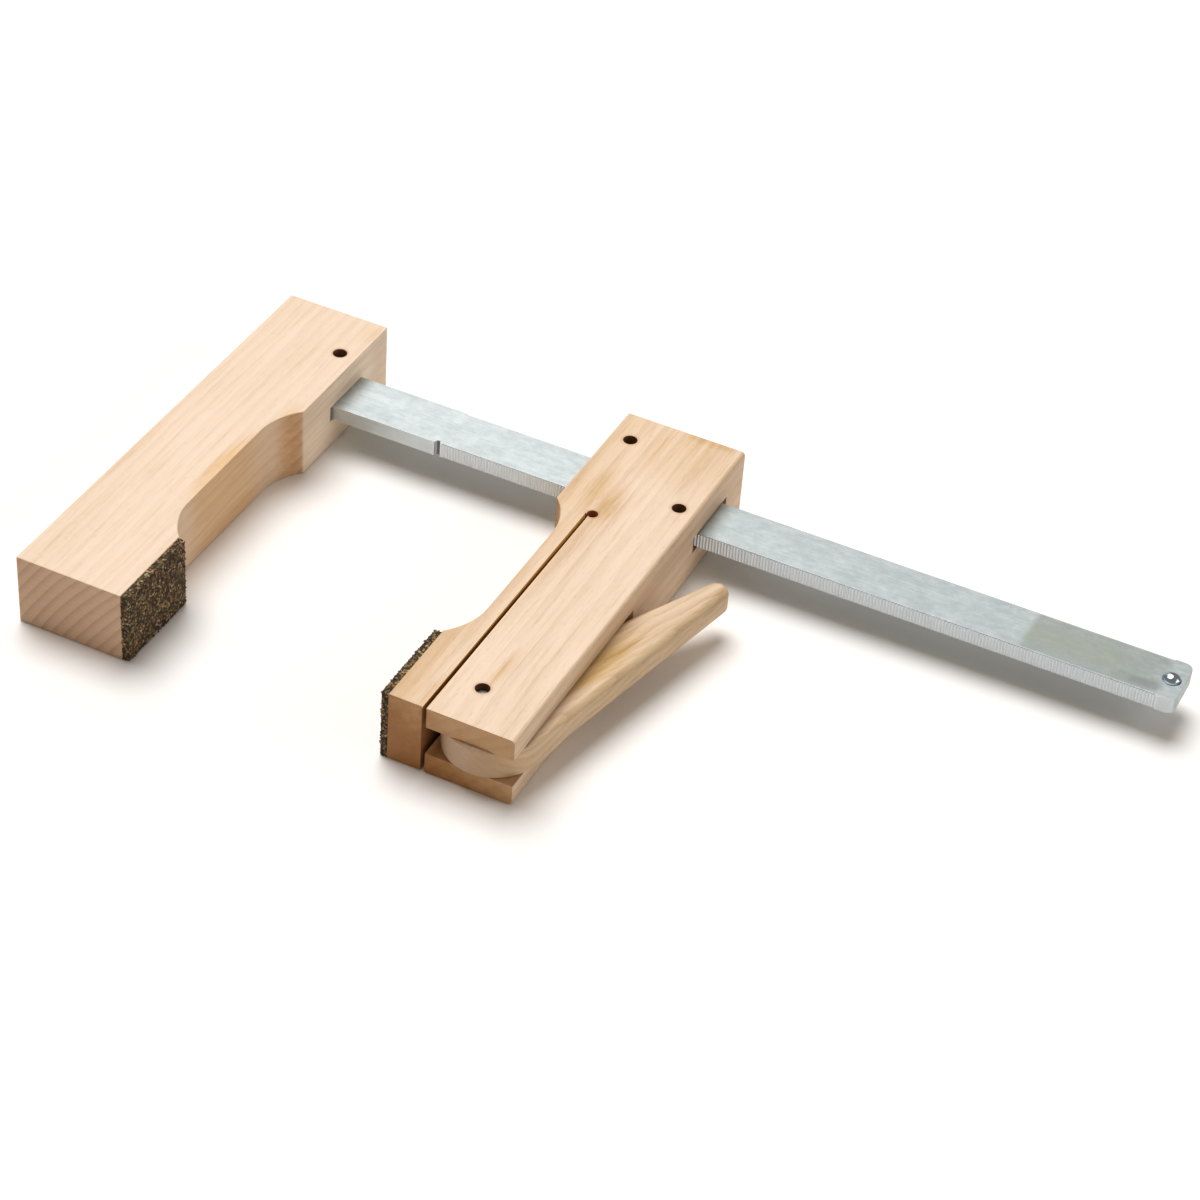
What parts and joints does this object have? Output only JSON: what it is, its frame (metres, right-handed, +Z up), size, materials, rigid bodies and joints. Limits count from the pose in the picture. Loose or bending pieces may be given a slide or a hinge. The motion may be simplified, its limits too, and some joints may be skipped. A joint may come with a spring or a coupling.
{
  "type": "cam clamp",
  "caption": "Wooden bar clamp: a fixed and a sliding jaw with cork pads on a serrated flat bar, and a wooden cam lever that springs the sliding jaw's tongue.",
  "frame": {"origin": "on the underside of the fixed jaw, below the middle of the place where the bar goes through it; the clamp lies flat on its side", "axes": "+X along the bar from the fixed jaw to the free end, -Y towards the jaw tips, +Z up through the jaws' thickness"},
  "size_m": [0.284, 0.142, 0.0215],
  "materials": {
    "jaw_wood": "planed and sanded, unvarnished",
    "lever_wood": "sanded and oiled",
    "bar_steel": "zinc plated, satin",
    "pin_steel": "plain, ground",
    "cork_pad": "granular cork rubber"
  },
  "bodies": {
    "bar_and_fixed_jaw": {"serrated_bar": "bar_steel", "fixed_jaw": "jaw_wood", "fixed_jaw_pad": "cork_pad", "fixed_jaw_pin": "pin_steel", "bar_stop_pin": "pin_steel"},
    "sliding_jaw": {"sliding_jaw": "jaw_wood", "inner_lock_pin": "pin_steel", "outer_lock_pin": "pin_steel", "cam_pivot_pin": "pin_steel"},
    "tongue": {"jaw_tongue": "jaw_wood", "sliding_jaw_pad": "cork_pad"},
    "lever": {"cam_lever": "lever_wood"}
  },
  "joints": [
    {"name": "jaw_slide", "type": "slide", "parent": "bar_and_fixed_jaw", "child": "sliding_jaw", "axis": [1, 0, 0], "range_m": [-0.0671, 0.1313]},
    {"name": "lever_turn", "type": "hinge", "parent": "sliding_jaw", "child": "lever", "pos_m": [0.1139, -0.10335, 0.01075], "axis": [0, 0, -1], "range_deg": [0, 90]},
    {"name": "tongue_bend", "type": "hinge", "parent": "sliding_jaw", "child": "tongue", "pos_m": [0.1, -0.03075, 0.01075], "axis": [0, 0, -1], "range_deg": [0, 4.34]}
  ],
  "couplings": [
    {"joint": "tongue_bend", "follows": "lever_turn", "ratio": 0.0482}
  ]
}
